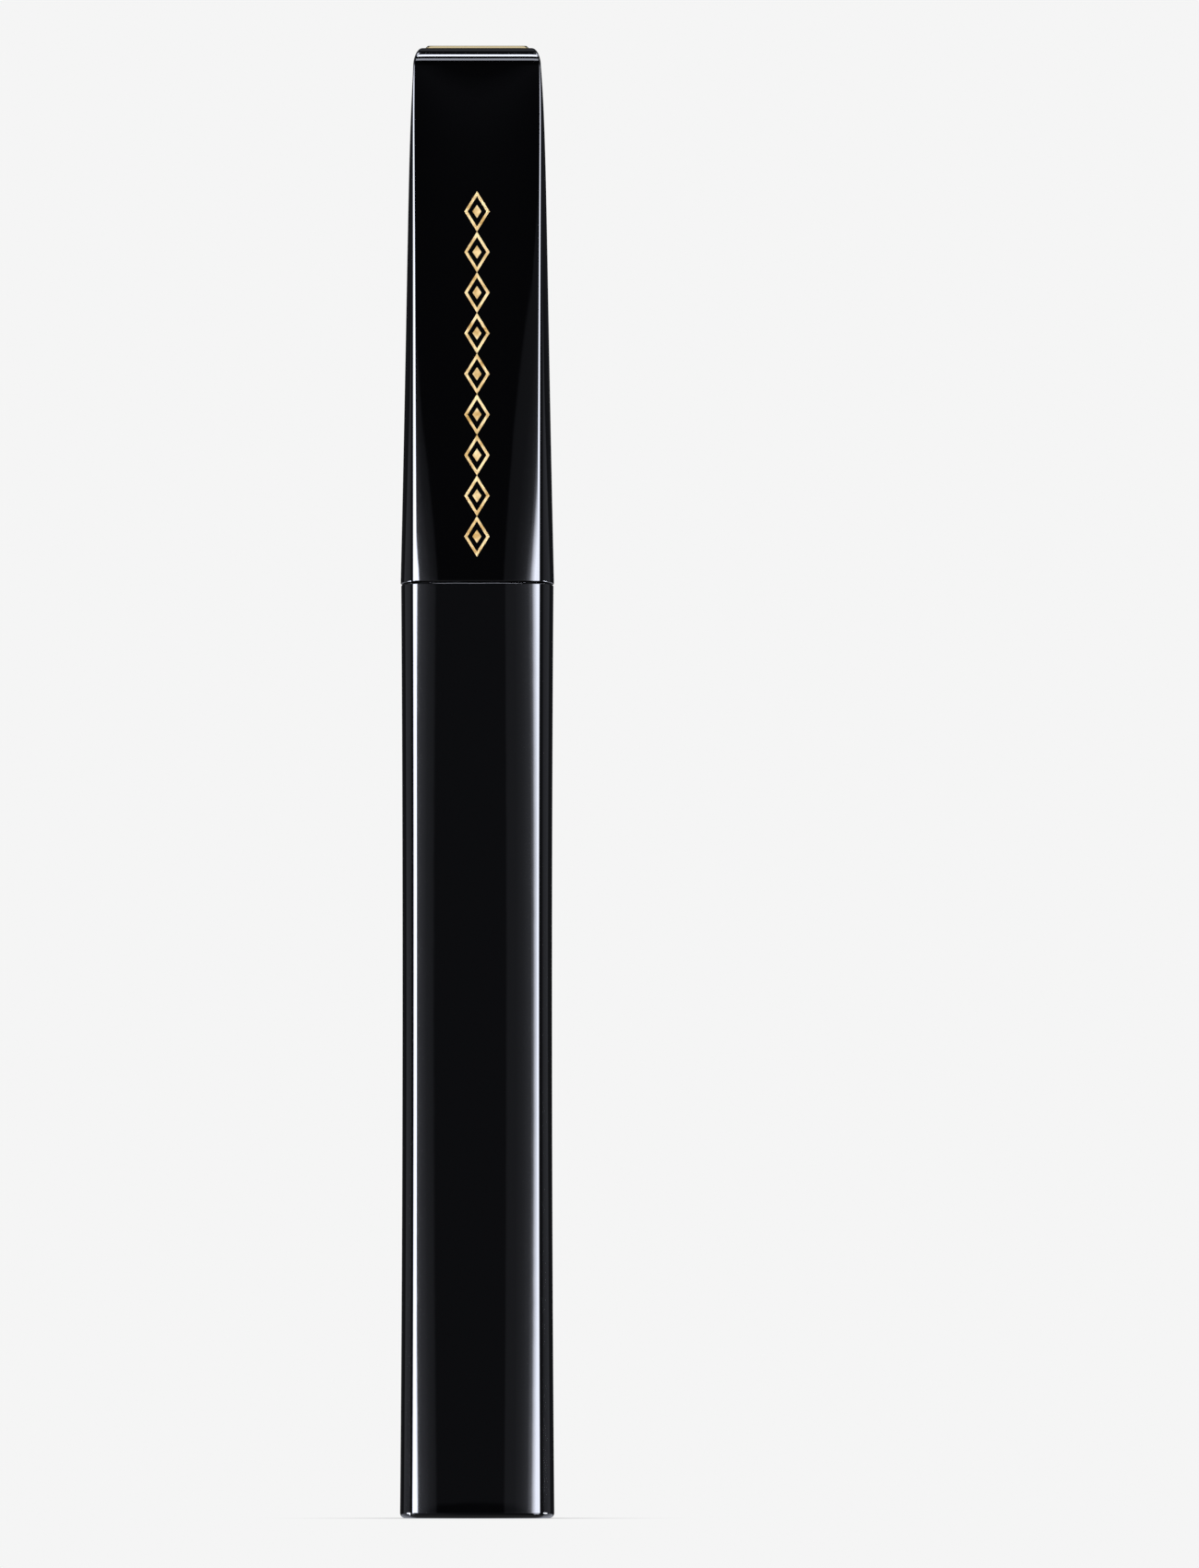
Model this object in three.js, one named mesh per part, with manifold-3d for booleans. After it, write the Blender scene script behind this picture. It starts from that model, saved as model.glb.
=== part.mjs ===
// Mascara tube: a square reservoir tube with a screw cap that carries the stem and brush.
// Millimetres, +Z up, origin at the middle of the base. The pack is closed and stands upright.
import * as THREE from "three";
import { mergeVertices } from "three/addons/utils/BufferGeometryUtils.js";
import Module from "manifold-3d";

const wasm = await Module();
wasm.setup();

// Driving dimensions
const TUBE_TOP = 88.8;
const CAP_RIM = 89.05;
const CAP_TOP = 139.75;
const TOTAL_HEIGHT = 140;
const WAIST = 7.12; // half width at the middle of the tube's sides
const WAIST_HEIGHT = 50;
const WAIST_CURVE = 9e-5;
const WAIST_CORNER = 6.14; // half width at the corners
const CORNER_SHARE = 0.5; // of the sides' widening that the corners follow
const CORNER_CUT = 0.45; // where a side gives way to the corner's rounding
const INNER_CUT = 0.36;
const TOP_WIDTH = 6.06; // half width just under the cap's rounded shoulder
const TOP_CUT = 0.2;
const TOP_CUT_LENGTH = 15;
const FLARE = 0.36; // of the cap's sides just under the shoulder
const FLARE_LENGTH = 5;
const SLOPE = 0.013;
const CURVE = 1.02e-4;
const CORNER_FLARE = 0.14;
const CORNER_FLARE_LENGTH = 3;
const SHOULDER = 1.5; // height of the cap's rounded top edge
const SHOULDER_INSET = 0.85;
const CAP_CEILING = 137.75;
const RECESS = 5.13; // half width of the seat for the plate
const RECESS_DEPTH = 0.8;
const RECESS_CUT = 0.3;
const PLATE_HALF = 4.98;
const PLATE_BEVEL = 0.28;
const PLATE_BED = 0.2; // of adhesive under the plate
const RIM_EDGE = 0.15;
const FOOT_ROUNDING = 0.5;
const TOP_EDGE = 0.3;
const TUBE_WALL = 1;
const CAP_WALL = 0.8;
const TOP_WALL = 1.1;
const GAP = 0.25;
const PLUG_TOP = 5;

const NECK_TOP = 101.6;
const NECK_RADIUS = 4.45;
const NECK_BORE = 3.5;
const NECK_CREST = 4.9;
const NECK_FOOT = 86.8;
const CAP_THREAD_ROOT = 5.45;
const CAP_THREAD_CREST = 5;
const THREAD_LEAD = 3;
const THREAD_TURNS = 1.25;
const THREAD_HEIGHT = 1; // of a ridge where it leaves the wall
const THREAD_FLAT = 0.64; // of a ridge at its crest
const THREAD_ROOT = 0.15; // of a ridge's depth into the wall
const NECK_THREAD_START = 93.4;
const RESERVOIR_RADIUS = 5.5;
const RESERVOIR_WALL = 0.8;
const RESERVOIR_FLOOR = 3.2;
const RESERVOIR_TOP = 85.6;
const RESERVOIR_CHAMFER = 0.6;
const COLLAR_RADIUS = 5.7;
const COLLAR_TOP = 89.55;
const COLLAR_CHAMFER = 0.2;
const WIPER_FLANGE = 4.3;
const WIPER_BORE = 2.5;
const WIPER_MOUTH = 1.82;
const WIPER_END = 91.5;
const WIPER_SEAT = 0.2; // between the flange and the neck or the washer
const WASHER_BOTTOM = 102.6;
const WASHER_TOP = 103.4;
const WASHER_RADIUS = 5.25;

const LINER_RIM = 89.9;
const LINER_RADIUS = 5.95;
const LINER_WEB = 1; // thickness of the disc over the stem's
const BOSS_RADIUS = 3.4;
const BOSS_TOP = 112.9;
const BOSS_BEAD = 0.25; // keeps the weight on
const WEIGHT_BORE = 3.5;
const WEIGHT_RADIUS = 5.4;
const WEIGHT_BOTTOM = 106.2;
const WEIGHT_TOP = 111.8;

const STEM_RADIUS = 1.67;
const STEM_END = 39.2;
const STEM_END_RADIUS = 1.05;
const STEM_TAPER = 4.6;
const STEM_SOCKET = 0.9;
const STEM_DISC = 103.65;
const STEM_DISC_RADIUS = 4.9;
const STEM_DISC_TOP = 104.6;
const SPIGOT_RADIUS = 2.4;
const SPIGOT_TOP = 110;
const BRUSH_TIP = 11.7;
const BRUSH_BASE_RADIUS = 3.65;
const BRUSH_TIP_RADIUS = 2.85;
const FIBRE_BOTTOM = 14.1;
const FIBRE_TOP = 38.9;
const FIBRE_PITCH = 1.72;
const FIN_ROOT = 1.25;
const FIN_ROOT_HALF = 0.4;
const FIN_EDGE_HALF = 0.15;
const SLEEVE_BORE = 1;
const SLEEVE_RADIUS = 1.5;
const WIRE_WIDTH = 0.7;
const WIRE_DEPTH = 0.4;
const WIRE_TOP = 47;
const TIP_RADIUS = 0.8;

const SIDE_STEPS = 6;
const CORNER_STEPS = 3;
const ROUND_STEPS = 36;
const FIN_STEPS = 18;
const WIRE_STEPS = 8;

const GLOSS_BLACK = new THREE.MeshStandardMaterial({ color: 0x08080a, roughness: 0.08, metalness: 0 });
const SATIN_BLACK = new THREE.MeshStandardMaterial({ color: 0x0c0c0d, roughness: 0.4, metalness: 0 });
const PALE_GOLD = new THREE.MeshStandardMaterial({ color: 0xc9bc9a, roughness: 0.25, metalness: 1 });
const SOFT_GREY = new THREE.MeshStandardMaterial({ color: 0xc9c9c6, roughness: 0.55, metalness: 0 });
const RUBBER = new THREE.MeshStandardMaterial({ color: 0x2c2c2e, roughness: 0.8, metalness: 0 });
const STEEL = new THREE.MeshStandardMaterial({ color: 0xa9abad, roughness: 0.35, metalness: 1 });
const FIBRE = new THREE.MeshStandardMaterial({ color: 0x050506, roughness: 0.6, metalness: 0 });

const mix = (a, b, t) => a + (b - a) * t;
const tubeWidth = (z) => WAIST + WAIST_CURVE * (z - WAIST_HEIGHT) ** 2;
const tubeCorner = (z) => WAIST_CORNER + CORNER_SHARE * (tubeWidth(z) - WAIST);
const below = (z) => Math.max(0, CAP_TOP - SHOULDER - z);
const settled = (distance, length) => 1 - Math.exp(-distance / length);
const straightFlare = (z) => (SLOPE + CURVE * below(z)) * below(z);
const capWidth = (z) => TOP_WIDTH + FLARE * settled(below(z), FLARE_LENGTH) + straightFlare(z);
const capCorner = (z) => TOP_WIDTH + CORNER_FLARE * settled(below(z), CORNER_FLARE_LENGTH);
const capCut = (z) => mix(TOP_CUT, CORNER_CUT, settled(below(z), TOP_CUT_LENGTH));

// One level of a convex-sided square: its sides are bulged from the corner's half width out to the middle's.
function squareRing(z, middle, corner, cut = CORNER_CUT) {
  const side = (x) => middle - (middle - corner) * (x / corner) ** 2;
  const start = corner - cut;
  const lean = Math.atan((2 * (middle - corner) * start) / corner ** 2);
  const radius = (side(start) - start) / (Math.cos(lean) - Math.sin(lean));
  const centre = start - radius * Math.sin(lean);
  const quarter = [];
  for (let i = 0; i < SIDE_STEPS; i += 1) {
    const x = mix(start, -start, i / SIDE_STEPS);
    quarter.push([x, side(x)]);
  }
  for (let i = 0; i < CORNER_STEPS; i += 1) {
    const angle = mix(lean, Math.PI / 2 - lean, i / CORNER_STEPS);
    quarter.push([-centre - radius * Math.sin(angle), centre + radius * Math.cos(angle)]);
  }
  const ring = [];
  for (let turn = 0; turn < 4; turn += 1) {
    const [c, s] = [[1, 0], [0, 1], [-1, 0], [0, -1]][turn];
    quarter.forEach(([x, y]) => ring.push([x * c - y * s, x * s + y * c, z]));
  }
  return ring;
}

// A round level whose points stand at the same angles as the square's.
function roundRing(z, radius) {
  return squareRing(z, WAIST, WAIST_CORNER).map(([x, y]) => {
    const length = Math.hypot(x, y);
    return [(x * radius) / length, (y * radius) / length, z];
  });
}

function tubeRing(z, inset = 0, shape = z) {
  const cut = inset > FOOT_ROUNDING ? INNER_CUT : CORNER_CUT;
  return squareRing(z, tubeWidth(shape) - inset, tubeCorner(shape) - inset, cut);
}

function capRing(z, inset = 0) {
  const cut = inset > RIM_EDGE ? INNER_CUT : capCut(z);
  return squareRing(z, capWidth(z) - inset, capCorner(z) - inset, cut);
}

function volumeOf(positions, indices) {
  const at = (i) => new THREE.Vector3().fromArray(positions, 3 * indices[i]);
  let volume = 0;
  for (let i = 0; i < indices.length; i += 3) {
    volume += at(i).dot(at(i + 1).cross(at(i + 2))) / 6;
  }
  return volume;
}

// Joins level after level into one closed skin: the two ends are filled, or meet each other in a loop.
function skin(rings, looped = false) {
  const count = rings[0].length;
  const positions = rings.flat(2);
  const indices = [];
  const spans = looped ? rings.length : rings.length - 1;
  for (let r = 0; r < spans; r += 1) {
    const next = (r + 1) % rings.length;
    for (let i = 0; i < count; i += 1) {
      const j = (i + 1) % count;
      const [a, b, c, d] = [r * count + i, r * count + j, next * count + j, next * count + i];
      indices.push(a, b, c, a, c, d);
    }
  }
  if (!looped) {
    [rings[0], rings[rings.length - 1]].forEach((ring, end) => {
      const hub = positions.length / 3;
      const first = end === 0 ? 0 : (rings.length - 1) * count;
      [0, 1, 2].forEach((k) => positions.push(ring.reduce((sum, p) => sum + p[k], 0) / count));
      for (let i = 0; i < count; i += 1) {
        const [a, b] = [first + i, first + ((i + 1) % count)];
        indices.push(...(end === 0 ? [hub, b, a] : [hub, a, b]));
      }
    });
  }
  if (volumeOf(positions, indices) < 0) {
    indices.reverse();
  }
  const geometry = new THREE.BufferGeometry();
  geometry.setAttribute("position", new THREE.Float32BufferAttribute(positions, 3));
  geometry.setIndex(indices);
  return geometry;
}

// A turned solid from its half section of [radius, height] points.
function turned(profile, steps = ROUND_STEPS) {
  const points = profile.map(([radius, height]) => new THREE.Vector2(radius, height));
  const geometry = new THREE.LatheGeometry(points, steps);
  geometry.rotateX(Math.PI / 2);
  return geometry;
}

const closedTurn = (profile, steps) => turned([...profile, profile[0]], steps);

function solidOf(geometry) {
  const bare = geometry.clone();
  bare.deleteAttribute("normal");
  bare.deleteAttribute("uv");
  const merged = mergeVertices(bare, 1e-5);
  const kept = [];
  for (let i = 0; i < merged.index.count; i += 3) {
    const corners = [merged.index.getX(i), merged.index.getX(i + 1), merged.index.getX(i + 2)];
    if (new Set(corners).size === 3) {
      kept.push(...corners);
    }
  }
  const vertices = Float32Array.from(merged.attributes.position.array);
  return new wasm.Manifold(
    new wasm.Mesh({ numProp: 3, vertProperties: vertices, triVerts: Uint32Array.from(kept) }),
  );
}

function joined(...geometries) {
  const whole = geometries.map(solidOf).reduce((sum, next) => sum.add(next));
  const { vertProperties, triVerts } = whole.getMesh();
  const geometry = new THREE.BufferGeometry();
  geometry.setAttribute("position", new THREE.BufferAttribute(vertProperties, 3));
  geometry.setIndex(new THREE.BufferAttribute(triVerts, 1));
  return geometry;
}

// A right-hand helical ridge that fades into the wall at both ends. The crest may lie in or out of the wall.
function helicalRidge({ wall, crest, start, turns, height, lead, steps }) {
  const buried = wall - Math.sign(crest - wall) * THREAD_ROOT;
  const total = Math.round(turns * steps);
  const rings = [];
  for (let i = 0; i <= total; i += 1) {
    const angle = (2 * Math.PI * i) / steps;
    const fade = Math.min(1, 0.25 + (4 * Math.min(i, total - i)) / steps);
    const z = start + (lead * angle) / (2 * Math.PI);
    const top = mix(wall, crest, fade);
    const level = (radius, up) => [radius * Math.cos(angle), radius * Math.sin(angle), z + up];
    rings.push([
      level(buried, -height / 2),
      level(top, (-height * THREAD_FLAT) / 2),
      level(top, (height * THREAD_FLAT) / 2),
      level(buried, height / 2),
    ]);
  }
  return skin(rings);
}

function tubeShell() {
  const ceiling = TUBE_TOP - TOP_WALL;
  return skin(
    [
      tubeRing(0, FOOT_ROUNDING),
      tubeRing(FOOT_ROUNDING * 0.25, FOOT_ROUNDING * 0.25),
      tubeRing(FOOT_ROUNDING),
      ...[2, 12, 28, 42, 58, 72].map((z) => tubeRing(z)),
      tubeRing(TUBE_TOP - TOP_EDGE),
      tubeRing(TUBE_TOP, TOP_EDGE),
      roundRing(TUBE_TOP, NECK_RADIUS + GAP),
      roundRing(ceiling, NECK_RADIUS + GAP),
      tubeRing(ceiling, TUBE_WALL),
      tubeRing(WAIST_HEIGHT, TUBE_WALL),
      tubeRing(0, TUBE_WALL),
    ],
    true,
  );
}

function basePlug() {
  const cup = RESERVOIR_RADIUS + GAP;
  return skin([
    tubeRing(0, TUBE_WALL + GAP),
    tubeRing(PLUG_TOP, TUBE_WALL + GAP, 0),
    roundRing(PLUG_TOP, cup),
    roundRing(RESERVOIR_FLOOR - GAP, cup),
  ]);
}

function innerBottle() {
  const inside = RESERVOIR_RADIUS - RESERVOIR_WALL;
  const floor = RESERVOIR_FLOOR + RESERVOIR_WALL;
  const body = turned([
    [0, RESERVOIR_FLOOR],
    [RESERVOIR_RADIUS - RESERVOIR_CHAMFER, RESERVOIR_FLOOR],
    [RESERVOIR_RADIUS, RESERVOIR_FLOOR + RESERVOIR_CHAMFER],
    [RESERVOIR_RADIUS, RESERVOIR_TOP],
    [NECK_RADIUS, NECK_FOOT],
    [NECK_RADIUS, NECK_TOP],
    [NECK_BORE, NECK_TOP],
    [NECK_BORE, NECK_FOOT + 0.2],
    [inside, RESERVOIR_TOP - 0.2],
    [inside, floor + RESERVOIR_CHAMFER],
    [inside - RESERVOIR_CHAMFER, floor],
    [0, floor],
  ]);
  const thread = helicalRidge({
    wall: NECK_RADIUS,
    crest: NECK_CREST,
    start: NECK_THREAD_START,
    turns: THREAD_TURNS,
    height: THREAD_HEIGHT,
    lead: THREAD_LEAD,
    steps: ROUND_STEPS,
  });
  return joined(body, thread);
}

function neckCollar() {
  const inside = NECK_RADIUS + GAP;
  return closedTurn([
    [inside, TUBE_TOP + GAP],
    [COLLAR_RADIUS, TUBE_TOP + GAP],
    [COLLAR_RADIUS, COLLAR_TOP - COLLAR_CHAMFER],
    [COLLAR_RADIUS - COLLAR_CHAMFER, COLLAR_TOP],
    [inside, COLLAR_TOP],
  ]);
}

function wiper() {
  const outside = NECK_BORE - GAP;
  const top = WASHER_BOTTOM - WIPER_SEAT;
  return closedTurn([
    [WIPER_FLANGE, NECK_TOP + WIPER_SEAT],
    [WIPER_FLANGE, top],
    [WIPER_BORE + 0.2, top],
    [WIPER_BORE, top - 0.3],
    [WIPER_BORE, WIPER_END + 4],
    [WIPER_MOUTH, WIPER_END + 0.5],
    [WIPER_MOUTH, WIPER_END],
    [WIPER_MOUTH + 0.48, WIPER_END],
    [outside, WIPER_END + 3.8],
    [outside, NECK_TOP + WIPER_SEAT],
  ]);
}

function sealWasher() {
  return closedTurn([
    [WIPER_MOUTH, WASHER_BOTTOM],
    [WASHER_RADIUS, WASHER_BOTTOM],
    [WASHER_RADIUS, WASHER_TOP],
    [WIPER_MOUTH, WASHER_TOP],
  ]);
}

function innerCap() {
  const socket = SPIGOT_RADIUS + GAP;
  const ceiling = STEM_DISC_TOP + GAP;
  const bead = BOSS_RADIUS + BOSS_BEAD;
  const body = turned([
    [0, SPIGOT_TOP + GAP],
    [socket, SPIGOT_TOP + GAP],
    [socket, ceiling],
    [CAP_THREAD_ROOT, ceiling],
    [CAP_THREAD_ROOT, LINER_RIM],
    [LINER_RADIUS, LINER_RIM],
    [LINER_RADIUS, ceiling + LINER_WEB],
    [BOSS_RADIUS, ceiling + LINER_WEB],
    [BOSS_RADIUS, WEIGHT_TOP + 0.2],
    [bead, WEIGHT_TOP + 0.4],
    [bead, WEIGHT_TOP + 0.7],
    [BOSS_RADIUS, BOSS_TOP],
    [0, BOSS_TOP],
  ]);
  const thread = helicalRidge({
    wall: CAP_THREAD_ROOT,
    crest: CAP_THREAD_CREST,
    start: NECK_THREAD_START - THREAD_LEAD / 2,
    turns: THREAD_TURNS,
    height: THREAD_HEIGHT,
    lead: THREAD_LEAD,
    steps: ROUND_STEPS,
  });
  return joined(body, thread);
}

function capWeight() {
  return closedTurn([
    [WEIGHT_BORE, WEIGHT_BOTTOM],
    [WEIGHT_RADIUS, WEIGHT_BOTTOM],
    [WEIGHT_RADIUS, WEIGHT_TOP],
    [WEIGHT_BORE, WEIGHT_TOP],
  ]);
}

function capShell() {
  const top = CAP_TOP - SHOULDER;
  const shoulder = [0.3, 0.6, 0.85, 0.96, 1].map((part) => {
    const half = TOP_WIDTH - SHOULDER_INSET * (1 - Math.sqrt(1 - part ** 2));
    return squareRing(top + SHOULDER * part, half, half, TOP_CUT);
  });
  return skin([
    ...[CAP_CEILING, 120, 104, CAP_RIM].map((z) => capRing(z, CAP_WALL)),
    capRing(CAP_RIM, RIM_EDGE),
    ...[CAP_RIM + RIM_EDGE, 96, 104, 112, 120, 127, 132, 136, top].map((z) => capRing(z)),
    ...shoulder,
    squareRing(CAP_TOP, RECESS, RECESS, RECESS_CUT),
    squareRing(CAP_TOP - RECESS_DEPTH, RECESS, RECESS, RECESS_CUT),
  ]);
}

function capTopPlate() {
  const top = PLATE_HALF - PLATE_BEVEL;
  return skin([
    squareRing(CAP_TOP - RECESS_DEPTH + PLATE_BED, PLATE_HALF, PLATE_HALF, RECESS_CUT),
    squareRing(TOTAL_HEIGHT - PLATE_BEVEL, PLATE_HALF, PLATE_HALF, RECESS_CUT),
    squareRing(TOTAL_HEIGHT, top, top, RECESS_CUT),
  ]);
}

function stem() {
  const ogive = [0, 0.25, 0.5, 0.75, 1].map((t) => [
    mix(STEM_END_RADIUS, STEM_RADIUS, Math.sin((t * Math.PI) / 2)),
    STEM_END + STEM_TAPER * t,
  ]);
  return turned([
    [0, WIRE_TOP + GAP],
    [STEM_SOCKET, WIRE_TOP + GAP],
    [STEM_SOCKET, STEM_END],
    ...ogive,
    [STEM_RADIUS, STEM_DISC],
    [STEM_DISC_RADIUS, STEM_DISC],
    [STEM_DISC_RADIUS, STEM_DISC_TOP],
    [SPIGOT_RADIUS, STEM_DISC_TOP],
    [SPIGOT_RADIUS, SPIGOT_TOP],
    [0, SPIGOT_TOP],
  ]);
}

// Two strands twisted together, as an oval section that turns on its way up, with the bend at the tip.
function brushWire() {
  const bottom = BRUSH_TIP + TIP_RADIUS;
  const stepHeight = (2 * FIBRE_PITCH) / WIRE_STEPS;
  const levels = Math.round((WIRE_TOP - bottom) / stepHeight);
  const rings = [];
  for (let i = 0; i <= levels; i += 1) {
    const twist = (2 * Math.PI * i) / WIRE_STEPS;
    const ring = [];
    for (let k = 0; k < WIRE_STEPS; k += 1) {
      const angle = (2 * Math.PI * k) / WIRE_STEPS;
      const point = new THREE.Vector2(WIRE_WIDTH * Math.cos(angle), WIRE_DEPTH * Math.sin(angle));
      point.rotateAround(new THREE.Vector2(), twist);
      ring.push([point.x, point.y, mix(bottom, WIRE_TOP, i / levels)]);
    }
    rings.push(ring);
  }
  const bend = new THREE.SphereGeometry(TIP_RADIUS, 10, 8);
  bend.translate(0, 0, bottom);
  return joined(skin(rings), bend);
}

// The fibres as a sleeve round the wire with one spiral fin, widest by the stem.
function brushFibres() {
  const sleeve = closedTurn(
    [
      [SLEEVE_BORE, FIBRE_BOTTOM],
      [SLEEVE_RADIUS, FIBRE_BOTTOM],
      [SLEEVE_RADIUS, FIBRE_TOP],
      [SLEEVE_BORE, FIBRE_TOP],
    ],
    FIN_STEPS,
  );
  const height = FIBRE_TOP - FIBRE_BOTTOM - 2 * FIN_ROOT_HALF;
  const total = Math.floor((height / FIBRE_PITCH) * FIN_STEPS);
  const rings = [];
  for (let i = 0; i <= total; i += 1) {
    const angle = (2 * Math.PI * i) / FIN_STEPS;
    const z = FIBRE_BOTTOM + FIN_ROOT_HALF + (FIBRE_PITCH * i) / FIN_STEPS;
    const edge = mix(BRUSH_TIP_RADIUS, BRUSH_BASE_RADIUS, i / total);
    const level = (radius, up) => [radius * Math.cos(angle), radius * Math.sin(angle), z + up];
    rings.push([
      level(FIN_ROOT, -FIN_ROOT_HALF),
      level(edge, -FIN_EDGE_HALF),
      level(edge, FIN_EDGE_HALF),
      level(FIN_ROOT, FIN_ROOT_HALF),
    ]);
  }
  return joined(sleeve, skin(rings));
}

const mascaraTube = new THREE.Group();

function add(name, geometry, material) {
  const mesh = new THREE.Mesh(geometry, material);
  mesh.name = name;
  mascaraTube.add(mesh);
}

add("tube_shell", tubeShell(), GLOSS_BLACK);
add("base_plug", basePlug(), SATIN_BLACK);
add("inner_bottle", innerBottle(), SATIN_BLACK);
add("neck_collar", neckCollar(), GLOSS_BLACK);
add("wiper", wiper(), SOFT_GREY);
add("seal_washer", sealWasher(), RUBBER);
add("cap_weight", capWeight(), STEEL);
add("cap_shell", capShell(), GLOSS_BLACK);
add("cap_top_plate", capTopPlate(), PALE_GOLD);
add("inner_cap", innerCap(), SATIN_BLACK);
add("stem", stem(), SATIN_BLACK);
add("brush_wire", brushWire(), STEEL);
add("brush_fibres", brushFibres(), FIBRE);

export default mascaraTube;
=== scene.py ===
"""Mascara tube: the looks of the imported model. Sizes are in millimetres, and become metres in mesh_piece."""
import math
import random

import bpy
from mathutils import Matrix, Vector


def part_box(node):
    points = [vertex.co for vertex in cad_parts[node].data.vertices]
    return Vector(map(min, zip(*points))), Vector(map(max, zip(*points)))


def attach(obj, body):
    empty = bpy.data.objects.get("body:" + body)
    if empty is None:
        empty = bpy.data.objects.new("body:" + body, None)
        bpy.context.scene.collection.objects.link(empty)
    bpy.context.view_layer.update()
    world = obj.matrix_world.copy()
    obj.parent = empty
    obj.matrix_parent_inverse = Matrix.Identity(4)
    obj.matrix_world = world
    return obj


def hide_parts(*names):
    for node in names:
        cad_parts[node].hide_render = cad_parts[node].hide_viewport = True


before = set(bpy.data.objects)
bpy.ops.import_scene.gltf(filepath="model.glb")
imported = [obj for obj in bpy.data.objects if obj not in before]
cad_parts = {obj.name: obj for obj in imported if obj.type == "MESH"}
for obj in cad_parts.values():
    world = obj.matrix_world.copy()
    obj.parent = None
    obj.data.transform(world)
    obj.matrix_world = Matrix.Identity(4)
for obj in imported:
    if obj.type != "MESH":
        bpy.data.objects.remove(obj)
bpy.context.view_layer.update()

MM = 0.001
TURN = 2 * math.pi


def height_range(node):
    """Lowest and highest height of a CAD node, in millimetres."""
    low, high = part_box(node)
    return low[2] / MM, high[2] / MM


FOOT, TUBE_TOP = height_range("tube_shell")
RIM, CAP_TOP = height_range("cap_shell")
PLATE_BOTTOM, PLATE_TOP = height_range("cap_top_plate")
PLATE_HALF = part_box("cap_top_plate")[1][0] / MM
NECK_TOP = height_range("inner_bottle")[1]
STEM_END = height_range("stem")[0]
SPIGOT_TOP = height_range("stem")[1]
BRUSH_TIP, WIRE_TOP = height_range("brush_wire")

# Half widths, curves and lengths of the outer shapes
WAIST = 7.12
WAIST_HEIGHT = 50
WAIST_CURVE = 9e-5
WAIST_CORNER = 6.14
CORNER_SHARE = 0.5
CORNER_CUT = 0.45
TOP_WIDTH = 6.06
TOP_CUT = 0.2
TOP_CUT_LENGTH = 15
FLARE = 0.36
FLARE_LENGTH = 5
SLOPE = 0.013
CURVE = 1.02e-4
CORNER_FLARE = 0.14
CORNER_FLARE_LENGTH = 3
SHOULDER = 1.5
SHOULDER_INSET = 0.85
RECESS = 5.13
RECESS_CUT = 0.3
PLATE_BEVEL = 0.28

# The neck, the thread and the pieces inside
NECK_RADIUS = 4.45
NECK_CREST = 4.9
NECK_BORE = 3.5
THREAD_LEAD = 3
THREAD_TURNS = 1.25
THREAD_HALF_ROOT = 0.5
THREAD_HALF_CREST = 0.3
THREAD_RUN_OUT = 1 / 8  # of a turn, over which a ridge rises at each end
NECK_THREAD_START = 93.4
CAP_THREAD_ROOT = 5.45
CAP_THREAD_CREST = 5
COLLAR_GAP = 0.25  # round the neck
COLLAR_RADIUS = 5.7
RESERVOIR_RADIUS = 5.5
RESERVOIR_BORE = 4.7
RESERVOIR_FLOOR = 3.2
RESERVOIR_WALL = 0.8
RESERVOIR_TOP = 85.6
WIPER_RADIUS = 4.3
WIPER_BORE = 2.5
WIPER_WAIST = 95.4
WASHER_RADIUS = 5.25
WEIGHT_BORE = 3.5
WEIGHT_RADIUS = 5.4
LINER_RADIUS = 5.95
BOSS_RADIUS = 3.4
BOSS_TOP = 112.9

# The stem and the brush
SEAT_GAP = 0.25  # between the washer and the stem's disc
SLIDE_GAP = 0.15  # round the stem, in the wiper and the washer
STEM_RADIUS = 1.67
DISC_RADIUS = 4.9
DISC_HEIGHT = 0.95
SPIGOT_RADIUS = 2.4
STEM_END_RADIUS = 1.05
STEM_TAPER = 4.6
WIRE_STRAND = 0.34
FIBRE_PITCH = 1.72
FIBRE_SIDES = 4
FIBRE_RADIUS = 0.045
CORE_FIBRE_RADIUS = 0.05
TUFTS_PER_TURN = 16
CLUMPS_PER_TUFT = 6
FIBRES_PER_CLUMP = 4
CORE_FIBRES = 2600
BRUSH_BASE_RADIUS = 3.65
BRUSH_TIP_RADIUS = 2.85


def mix(a, b, t):
    """The value t of the way from a to b."""
    return a + (b - a) * t


def tube_width(z):
    """Half width of the tube at the middle of its sides."""
    return WAIST + WAIST_CURVE * (z - WAIST_HEIGHT) ** 2


def tube_corner(z):
    """Half width of the tube at its corners."""
    return WAIST_CORNER + CORNER_SHARE * (tube_width(z) - WAIST)


def settled(distance, length):
    """A smooth run from 0 towards 1, most of it within length."""
    return 1 - math.exp(-distance / length)


def cap_width(z):
    """Half width of the cap at the middle of its sides."""
    down = max(0, CAP_TOP - SHOULDER - z)
    return TOP_WIDTH + FLARE * settled(down, FLARE_LENGTH) + (SLOPE + CURVE * down) * down


def cap_corner(z):
    """Half width of the cap at its corners."""
    return TOP_WIDTH + CORNER_FLARE * settled(max(0, CAP_TOP - SHOULDER - z), CORNER_FLARE_LENGTH)


def cap_cut(z):
    """Size of the cap's rounded corners."""
    return mix(TOP_CUT, CORNER_CUT, settled(max(0, CAP_TOP - SHOULDER - z), TOP_CUT_LENGTH))


# Materials


def new_material(name):
    """A node material with its tree, its shader and two helpers: one adds a node, one joins two sockets."""
    material = bpy.data.materials.new(name)
    material.use_nodes = True
    tree = material.node_tree
    shader = tree.nodes["Principled BSDF"]

    def node(kind, **values):
        made = tree.nodes.new(kind)
        for key, value in values.items():
            if key in made.inputs:
                made.inputs[key].default_value = value
            else:
                setattr(made, key, value)
        return made

    def link(source, target):
        tree.links.new(source, target)

    return material, shader, node, link


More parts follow.
